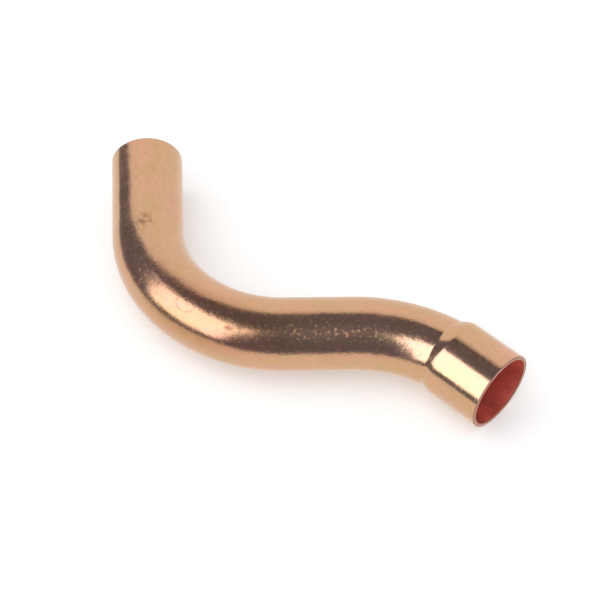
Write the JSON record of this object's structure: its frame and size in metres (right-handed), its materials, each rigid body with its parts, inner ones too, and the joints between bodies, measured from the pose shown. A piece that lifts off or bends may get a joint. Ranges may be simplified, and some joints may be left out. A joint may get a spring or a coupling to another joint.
{
  "type": "pipe crossover fitting",
  "caption": "Bent copper tube fitting with a plain spigot, a hump that clears a crossing pipe, and a swelled solder socket.",
  "frame": {"origin": "centre of the spigot's end face, on the spigot's axis", "axes": "+Y out of the spigot along its axis, +X towards the socket, +Z square to the flat plane in which the tube is bent"},
  "size_m": [0.0826, 0.0695, 0.0166],
  "materials": {
    "copper": "satin"
  },
  "bodies": {
    "root": {"fitting": "copper"}
  },
  "joints": []
}
